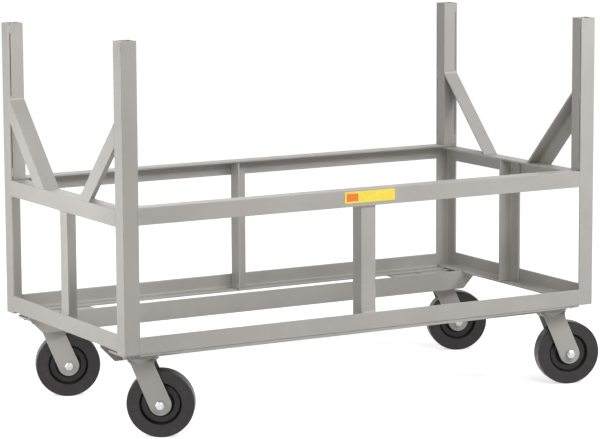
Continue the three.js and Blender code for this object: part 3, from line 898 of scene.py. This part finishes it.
def fillet(bm, start, end, side_a, side_b):
    """Bead in the corner between two faces that run along side_a and side_b."""
    out = (side_a + side_b).normalized()
    add_bead(bm, start, end, side_a * FILLET_LEG, side_b * FILLET_LEG, out, FILLET_RISE)


def add_rail_welds(bm):
    """Upright beads where the rails' outer legs meet the posts."""
    for level in ("upper", "lower"):
        for side, across, sign in FACES:
            node = f"{level}_rail_{side}"
            along = 1 - across
            out = AXES[across] * sign
            sink = out * (BUTT_RISE + WELD_GAP if side in BOUNDING_FACES else 0)
            seam = Vector()
            seam[across] = OUTER[across][sign > 0]
            for end in (-1, 1):
                seam[along] = OUTER[along][end > 0] - end * LEG
                bottom = Z * (low(node, 2) + SAW_CHAMFER)
                top = Z * (high(node, 2) - SAW_CHAMFER)
                butt(bm, seam + bottom - sink, seam + top - sink, AXES[along], out)


def add_post_welds(bm):
    """Stitches along both seams of each boxed post."""
    for corner, (x, y) in CORNERS.items():
        node = f"post_box_angle_{corner}"
        inner_x = OUTER_X[x > 0] - x * LEG
        inner_y = OUTER_Y[y > 0] - y * LEG
        seam_x = OUTER_X[x > 0] - x * POST_SEAM
        seam_y = OUTER_Y[y > 0] - y * POST_SEAM
        bottom = low(node, 2) + STITCH_END
        run = high(node, 2) - STITCH_END - STITCH_LENGTH - bottom
        count = math.floor(run / STITCH_SPACING)
        for k in range(count + 1):
            z = bottom + run * k / count
            for place, across, out in ((Vector((inner_x, seam_y, z)), Y, X * -x),
                                       (Vector((seam_x, inner_y, z)), X, Y * -y)):
                butt(bm, place, place + Z * STITCH_LENGTH, across, out, STITCH_WIDTH)


def add_strut_welds(bm):
    """Beads where the rails' edges cross the struts."""
    for side, across, sign in FACES:
        start, end = [corner.copy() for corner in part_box(f"mid_strut_{side}")]
        face = start[across] if sign < 0 else end[across]
        start[across] = end[across] = face
        for z, away in ((low(f"upper_rail_{side}", 2), -Z), (high(f"lower_rail_{side}", 2), Z)):
            start.z = end.z = z
            fillet(bm, start, end, away, AXES[across] * sign)


def add_brace_welds(bm):
    """Beads at the top and the foot of each diagonal brace."""
    for corner, (x, y) in CORNERS.items():
        node = f"end_brace_{corner}"
        box_low, box_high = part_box(node)
        foot_y, post_y = inner_outer(node, 1, y)
        slope = Vector((0, foot_y - post_y, box_low.z - box_high.z)).normalized()
        ends = (box_low.x + SAW_CHAMFER, box_high.x - SAW_CHAMFER)
        top = [(end, post_y, box_high.z) for end in ends]
        foot = [(end, foot_y, box_low.z) for end in ends]
        fillet(bm, *top, Z, slope)
        fillet(bm, *foot, -slope, Y * -y)
        under_z = box_high.z - LEG / math.cos(math.atan2(-slope.z, abs(slope.y)))
        seam = Vector((inner_outer(node, 0, x)[1] - x * WALL, post_y, under_z))
        fillet(bm, seam, seam + Z * (LEG - WALL), X * -x, Y * -y)


def add_floor_welds(bm):
    """Beads of the stringers, sill bars and caster pads."""
    flange_bottom = low("lower_rail_left", 2)
    for side, y in SIDES.items():
        box_low, box_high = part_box(f"stringer_{side}")
        for face, away in ((box_low.y, -Y), (box_high.y, Y)):
            for x in (-1, 1):
                start_x = OUTER_X[x > 0] - x * WALL * 2
                end_x = start_x - x * (LEG - WALL * 3)
                fillet(bm, (start_x, face, flange_bottom), (end_x, face, flange_bottom), -Z, away)
        bar_low, bar_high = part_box(f"sill_bar_{side}")
        inner = bar_high.y if y < 0 else bar_low.y
        count = round((bar_high.x - bar_low.x) / STITCH_SPACING)
        for k in range(count + 1):
            x = bar_low.x + (bar_high.x - bar_low.x - STITCH_LENGTH) * k / count
            fillet(bm, (x, inner, CENTRE.z), (x + STITCH_LENGTH, inner, CENTRE.z), Y * -y, -Z)
    for corner, (x, y) in CORNERS.items():
        pad_low, pad_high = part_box(f"caster_pad_{corner}")
        face = inner_outer("stringer_front" if y < 0 else "stringer_rear", 1, y)[1]
        for z, away in ((pad_high.z, Z), (pad_low.z, -Z)):
            fillet(bm, (pad_low.x, face, z), (pad_high.x, face, z), away, Y * y)


def make_welds():
    groups = {"rail": add_rail_welds, "post": add_post_welds, "strut": add_strut_welds,
              "brace": add_brace_welds, "floor": add_floor_welds}
    for name, add in groups.items():
        bm = bmesh.new()
        add(bm)
        new_piece(f"{name}_welds", bm, WELD, "frame")


# Casters

def make_top_plate(corner, pivot):
    """Top plate with the upper race pressed into its underside."""
    node = f"caster_plate_{corner}"
    half_x = (high(node, 0) - low(node, 0)) / 2
    half_y = (high(node, 1) - low(node, 1)) / 2
    outline = rectangle((-half_x, -half_y), (half_x, half_y), PLATE_CORNER, PLATE_STEPS)
    bm = prism(outline, soft_levels(PLATE_BOTTOM, PLATE_TOP, PLATE_EDGE))
    shoulder = RACE_RADIUS - LIP_RADIUS * 2
    plate_middle = PLATE_BOTTOM + PLATE_THICKNESS / 2
    race = turned(rounded([
        (SWIVEL_BORE, UPPER_RACE_BOTTOM, 0),
        (RACE_RADIUS, UPPER_RACE_BOTTOM, LIP_RADIUS),
        (RACE_RADIUS, UPPER_RACE_BOTTOM + LIP_RISE, LIP_TOP_RADIUS),
        (shoulder, PLATE_BOTTOM, LIP_RADIUS),
        (shoulder, plate_middle, 0),
        (SWIVEL_BORE, plate_middle, 0),
    ]), RACE_STEPS)
    hole = drill(SWIVEL_BORE, UPPER_RACE_BOTTOM - WALL, PLATE_TOP + WALL)
    joined = combined(bm, [("UNION", race), hole])
    new_piece(f"caster_top_plate_{corner}", joined, PAINT, "frame", pivot, [node])


def make_plate_bolts(corner, pivot):
    """Four bolts through pad and plate, with washers and nuts below."""
    bm = bmesh.new()
    head = PAD_TOP + WELD_GAP
    washer = PLATE_BOTTOM - BOLT_WASHER
    nut = washer - BOLT_NUT
    tip = nut - BOLT_TIP
    shank_top = head + BOLT_SHANK_LAP
    head_levels = chamfered(head, head + BOLT_HEAD, BOLT_SEAT_CHAMFER, BOLT_HEAD_CHAMFER)
    nut_levels = chamfered(nut, washer, BOLT_NUT_CHAMFER, BOLT_NUT_CHAMFER)
    ring = rounded([
        (BOLT_RADIUS, washer, 0),
        (BOLT_WASHER_RADIUS, washer, BOLT_WASHER_EDGE),
        (BOLT_WASHER_RADIUS, PLATE_BOTTOM, BOLT_WASHER_EDGE),
        (BOLT_RADIUS, PLATE_BOTTOM, 0),
    ], SMALL_STEPS)
    shank = [(0, shank_top), (BOLT_RADIUS, shank_top), (BOLT_RADIUS, nut),
             (BOLT_RADIUS - BOLT_TIP_DEPTH, tip), (0, tip)]
    for i in (-1, 1):
        for j in (-1, 1):
            place = Matrix.Translation((i * BOLT_SPACING[0] / 2, j * BOLT_SPACING[1] / 2, 0))
            prism(hexagon(BOLT_HEX), head_levels, place, bm)
            prism(hexagon(BOLT_HEX), nut_levels, place, bm)
            turned(ring, BOLT_STEPS, place, bm)
            turned(shank, BOLT_STEPS, place, bm)
    new_piece(f"caster_bolts_{corner}", bm, PAINT, "frame", pivot)


def make_kingpin(corner, pivot):
    head = PLATE_TOP + WELD_GAP
    nut_top = CROWN_TOP - FORK_WALL - SWIVEL_CLEARANCE
    nut = nut_top - KINGPIN_NUT
    bm = turned(rounded([
        (0, nut - BOLT_TIP, 0),
        (KINGPIN_RADIUS, nut - BOLT_TIP, KINGPIN_TIP_EDGE),
        (KINGPIN_RADIUS, head, 0),
        (KINGPIN_HEAD_RADIUS, head, KINGPIN_SEAT_EDGE),
        (KINGPIN_HEAD_RADIUS, head + KINGPIN_HEAD, KINGPIN_HEAD_EDGE),
        (0, head + KINGPIN_HEAD, 0),
    ]))
    levels = chamfered(nut, nut_top, KINGPIN_NUT_CHAMFER, KINGPIN_NUT_CHAMFER)
    prism(hexagon(KINGPIN_NUT_RADIUS), levels, bm=bm)
    new_piece(f"kingpin_{corner}_steel", bm, STEEL, "frame", pivot, [f"kingpin_{corner}"])


def laid_flat(u, z):
    """Carries a point (trail, height) of the fork's leg onto the flat plate."""
    return Vector((u, BEND_END + LEG_TOP - z))


def blank_outline(lead, axle_height):
    """The fork's plate laid flat, in (trail, distance from the crown's middle):
    a round crown and two legs that run tangent into their round tips."""
    left_top = Vector((FORK_TOP_OFFSET - FORK_TOP_WIDTH / 2, CROWN_TOP))
    right_top = Vector((FORK_TOP_OFFSET + FORK_TOP_WIDTH / 2, CROWN_TOP))
    angles = []
    for top, turn in ((left_top, 1), (right_top, -1)):
        away = top - Vector((lead, axle_height))
        angles.append(math.atan2(away.y, away.x) + turn * math.acos(FORK_TIP_RADIUS / away.length))
    left_slope, right_slope = [math.tan(angle) for angle in angles]
    right_z = LEG_TOP - FORK_BEND
    right_join = laid_flat(right_top.x + (CROWN_TOP - right_z) * right_slope, right_z)
    right_control = laid_flat(right_top.x + (CROWN_TOP - LEG_TOP) * right_slope, LEG_TOP + FORK_BEND)
    left_z = CROWN_TOP - FORK_SHOULDER_DEPTH
    left_join = laid_flat(left_top.x + FORK_SHOULDER_DEPTH * left_slope, left_z)
    left_control = Vector((left_top.x, FORK_SHOULDER_TURN))
    right_disc = arc((0, 0), CROWN_DISC_RADIUS, 0, CROWN_DISC_ENDS[0], DISC_STEPS)
    left_disc = arc((0, 0), CROWN_DISC_RADIUS, CROWN_DISC_ENDS[1], math.pi, DISC_STEPS)
    tip = arc((lead, axle_height), FORK_TIP_RADIUS, angles[1], angles[0] - math.tau, 2 * CURVE_STEPS)
    half = right_disc + curve(right_disc[-1], right_control, right_join) + [right_join]
    half += [laid_flat(point.x, point.y) for point in tip]
    half += [left_join] + curve(left_join, left_control, left_disc[0]) + left_disc
    other = [Vector((point.x, -point.y)) for point in reversed(half[1:-1])]
    return half + other


def bent(point):
    """Carries a point (trail, distance, offset) of the flat plate onto the bent fork."""
    side = -1 if point.y < 0 else 1
    run = abs(point.y)
    if run <= BEND_START:
        return Vector((point.x, point.y, CROWN_MIDDLE + point.z))
    if run >= BEND_END:
        return Vector((point.x, side * (LEG_MIDDLE + point.z), LEG_TOP - (run - BEND_END)))
    angle = (run - BEND_START) / FORK_BEND
    radius = FORK_BEND + point.z
    across = side * (BEND_START + radius * math.sin(angle))
    return Vector((point.x, across, LEG_TOP + radius * math.cos(angle)))


def make_fork(corner, place, lead, axle_height):
    """Fork bent from one plate, with the lower race and a skirt under it."""
    bm = prism(blank_outline(lead, axle_height), soft_levels(-FORK_WALL / 2, FORK_WALL / 2, FORK_EDGE))
    for side in (-1, 1):
        for k in range(BEND_STEPS + 1):
            cut_at = side * (BEND_START + (BEND_END - BEND_START) * k / BEND_STEPS)
            bisected(bm, BEND_TOLERANCE, (0, cut_at, 0), (0, 1, 0))
    for vertex in bm.verts:
        vertex.co = bent(vertex.co)
    skirt_bottom = CROWN_TOP - SKIRT_DEPTH
    foot = Vector((SKIRT_FOOT, skirt_bottom))
    lip = Vector((LOWER_RACE_RADIUS, CROWN_TOP))
    control = Vector((SKIRT_FOOT + LIP_RADIUS, CROWN_MIDDLE))
    section = [(SWIVEL_BORE, CROWN_MIDDLE), (SKIRT_INNER, CROWN_MIDDLE), (SKIRT_INNER, skirt_bottom), foot]
    section += curve(foot, control, lip) + [lip]
    section += [(LOWER_RACE_RADIUS, LOWER_RACE_TOP - LOWER_RACE_EDGE),
                (LOWER_RACE_RADIUS - LOWER_RACE_EDGE, LOWER_RACE_TOP), (SWIVEL_BORE, LOWER_RACE_TOP)]
    skirt = turned([Vector(point) for point in section], RACE_STEPS)
    bore = drill(SWIVEL_BORE, skirt_bottom, LOWER_RACE_TOP + WALL)
    across = Matrix.Translation((lead, 0, axle_height)) @ Matrix.Rotation(-math.pi / 2, 4, "X")
    joined = combined(bm, [("UNION", skirt), bore, drill(AXLE_HOLE, -LEG, LEG, across)])
    new_piece(f"caster_fork_{corner}_steel", joined, PAINT, f"fork_{corner}", place,
              [f"caster_fork_{corner}"])


def threaded(radius, length):
    """(radius, height) points of the threaded end of a bar, chamfered at its tip."""
    count = max(1, round(length / THREAD_PITCH))
    pitch = length / count
    points = []
    for k in range(count):
        points += [(radius - THREAD_DEPTH, pitch * k), (radius, pitch * (k + 0.5))]
    return points + [(radius - THREAD_END_DEPTH, length)]


def make_axle(corner, place):
    """Axle bolt: head on the far side, and a nut with the thread past it."""
    outside = FORK_INSIDE / 2 + FORK_WALL + WELD_GAP
    nut_end = outside + AXLE_NUT_END
    tip = -nut_end - AXLE_TIP
    section = [(0, tip + DIMPLE_DEPTH), (DIMPLE_FOOT, tip + DIMPLE_DEPTH), (DIMPLE_RIM, tip)]
    section += [(radius, -nut_end - height) for radius, height in reversed(threaded(AXLE_RADIUS, AXLE_TIP))]
    section += [(AXLE_RADIUS, -outside), (AXLE_RADIUS, outside), (0, outside)]
    bm = turned(section)
    for levels in (chamfered(-nut_end, -outside, AXLE_NUT_CHAMFER, AXLE_SEAT_CHAMFER),
                   chamfered(outside, outside + AXLE_HEAD, AXLE_SEAT_CHAMFER, AXLE_HEAD_CHAMFER)):
        prism(hexagon(AXLE_HEX), levels, bm=bm)
    new_piece(f"axle_{corner}_zinc", bm, ZINC, f"fork_{corner}", place, [f"axle_{corner}"])


def mirrored(half):
    """A closed section from its upper half."""
    return [(radius, -height, edge) for radius, height, edge in half] + half[::-1]


def make_wheel(corner, place):
    """Solid wheel with a recess between rim and hub on both sides."""
    face = WHEEL_WIDTH / 2
    hub = HUB_WIDTH / 2
    web = face - RIM_RECESS
    section = mirrored([
        (HUB_BORE, hub, HUB_BORE_EDGE),
        (HUB_RADIUS, hub, HUB_EDGE),
        (HUB_FOOT, web, HUB_FOOT_RADIUS),
        (RIM_FOOT, web, RIM_FOOT_RADIUS),
        (RIM_RADIUS, face, RIM_EDGE),
        (SHOULDER_RADIUS, face, SHOULDER_EDGE),
        (WHEEL_RADIUS - TREAD_CROWN, face - SHOULDER_DEPTH, TREAD_CORNER),
        (WHEEL_RADIUS, face - TREAD_EDGE, TREAD_EDGE_RADIUS),
    ])
    bm = turned(rounded(section, RIM_STEPS), WHEEL_STEPS)
    new_piece(f"wheel_{corner}_phenolic", bm, PHENOLIC, f"wheel_body_{corner}", place,
              [f"wheel_{corner}"])


def make_bearing(corner, place):
    """Plain sleeve between hub and axle."""
    end = BEARING_LENGTH / 2
    section = mirrored([(AXLE_HOLE, end, BEARING_BORE_EDGE), (BEARING_RADIUS, end, BEARING_EDGE)])
    bm = turned(rounded(section, EDGE_STEPS))
    new_piece(f"hub_bearing_{corner}_steel", bm, STEEL, f"wheel_body_{corner}", place,
              [f"hub_bearing_{corner}"])


def make_casters():
    for corner in CORNERS:
        roll = JOINTS[f"roll_{corner}"]
        pivot = Vector(JOINTS[f"swivel_{corner}"]["pos_m"])
        pivot.z = 0
        centre = Vector(roll["pos_m"])
        turn = Matrix.Rotation(math.atan2(roll["axis"][1], roll["axis"][0]) - math.pi / 2, 4, "Z")
        lead = (Vector((centre.x, centre.y, 0)) - pivot).length
        standing = Matrix.Translation(pivot)
        across = Matrix.Translation(centre) @ turn @ Matrix.Rotation(-math.pi / 2, 4, "X")
        make_top_plate(corner, standing)
        make_plate_bolts(corner, standing)
        make_kingpin(corner, standing)
        make_fork(corner, standing @ turn, lead, centre.z)
        make_axle(corner, across)
        make_wheel(corner, across)
        make_bearing(corner, across)


# Studio

def white_where_seen(tree):
    """1 for camera, glossy and transmission rays, 0 for the rays that light things."""
    path = add_node(tree, "ShaderNodeLightPath").outputs
    seen = maths("MAXIMUM", path["Is Camera Ray"], path["Is Glossy Ray"])
    return maths("MAXIMUM", seen, path["Is Transmission Ray"])


def make_world():
    world = bpy.data.worlds.new("studio")
    bpy.context.scene.world = world
    world.use_nodes = True
    tree = world.node_tree
    ambient = tree.nodes["Background"]
    ambient.inputs["Color"].default_value = WHITE
    ambient.inputs["Strength"].default_value = AMBIENT_LEVEL
    white = add_node(tree, "ShaderNodeBackground", {"Color": WHITE})
    chosen = add_node(tree, "ShaderNodeMixShader", {
        "Fac": white_where_seen(tree),
        1: ambient.outputs["Background"],
        2: white.outputs["Background"],
    })
    tree.links.new(chosen.outputs["Shader"], tree.nodes["World Output"].inputs["Surface"])


def make_floor():
    material, tree, surface = shaded("pale_floor", FLOOR)
    level = add_node(tree, "ShaderNodeMapRange", {
        "Value": length_of(add_node(tree, "ShaderNodeTexCoord").outputs["Object"]),
        "From Min": LIT_RADIUS[0],
        "From Max": LIT_RADIUS[1],
        "To Min": FLOOR_GLOW[0],
        "To Max": FLOOR_GLOW[1],
    })
    glow = maths("MULTIPLY", white_where_seen(tree), level.outputs["Result"])
    tree.links.new(glow, surface.inputs["Emission Strength"])
    bm = bmesh.new()
    bmesh.ops.create_grid(bm, x_segments=1, y_segments=1, size=FLOOR_HALF)
    mesh = bpy.data.meshes.new("floor")
    bm.to_mesh(mesh)
    bm.free()
    mesh.materials.append(material)
    floor = bpy.data.objects.new("floor", mesh)
    bpy.context.scene.collection.objects.link(floor)


def make_lamps():
    for name, (place, aim, size, power) in LAMPS.items():
        lamp = bpy.data.lights.new(name, "AREA")
        lamp.shape = "RECTANGLE"
        lamp.size, lamp.size_y = size
        lamp.energy = power
        holder = bpy.data.objects.new(name, lamp)
        holder.location = place
        holder.rotation_euler = (Vector(aim) - Vector(place)).to_track_quat("-Z", "Y").to_euler()
        holder.visible_camera = False
        bpy.context.scene.collection.objects.link(holder)


def make_camera():
    data = bpy.data.cameras.new("camera")
    data.sensor_width = SENSOR_WIDTH
    data.lens = CAMERA_LENS
    data.clip_end = 4 * FLOOR_HALF
    camera = bpy.data.objects.new("camera", data)
    turn = Matrix.Rotation(math.radians(-CAMERA_YAW), 4, "Z")
    tilt = Matrix.Rotation(math.radians(90 - CAMERA_PITCH), 4, "X")
    roll = Matrix.Rotation(math.radians(-CAMERA_ROLL), 4, "Z")
    camera.matrix_world = Matrix.Translation(CENTRE + CAMERA_PLACE) @ turn @ tilt @ roll
    bpy.context.scene.collection.objects.link(camera)
    bpy.context.scene.camera = camera


make_camera()
make_uprights()
make_rails()
make_braces()
make_stringers()
make_sill_bars()
make_pads()
make_label()
make_welds()
make_casters()
make_world()
make_floor()
make_lamps()
bpy.context.scene.view_settings.view_transform = "Standard"
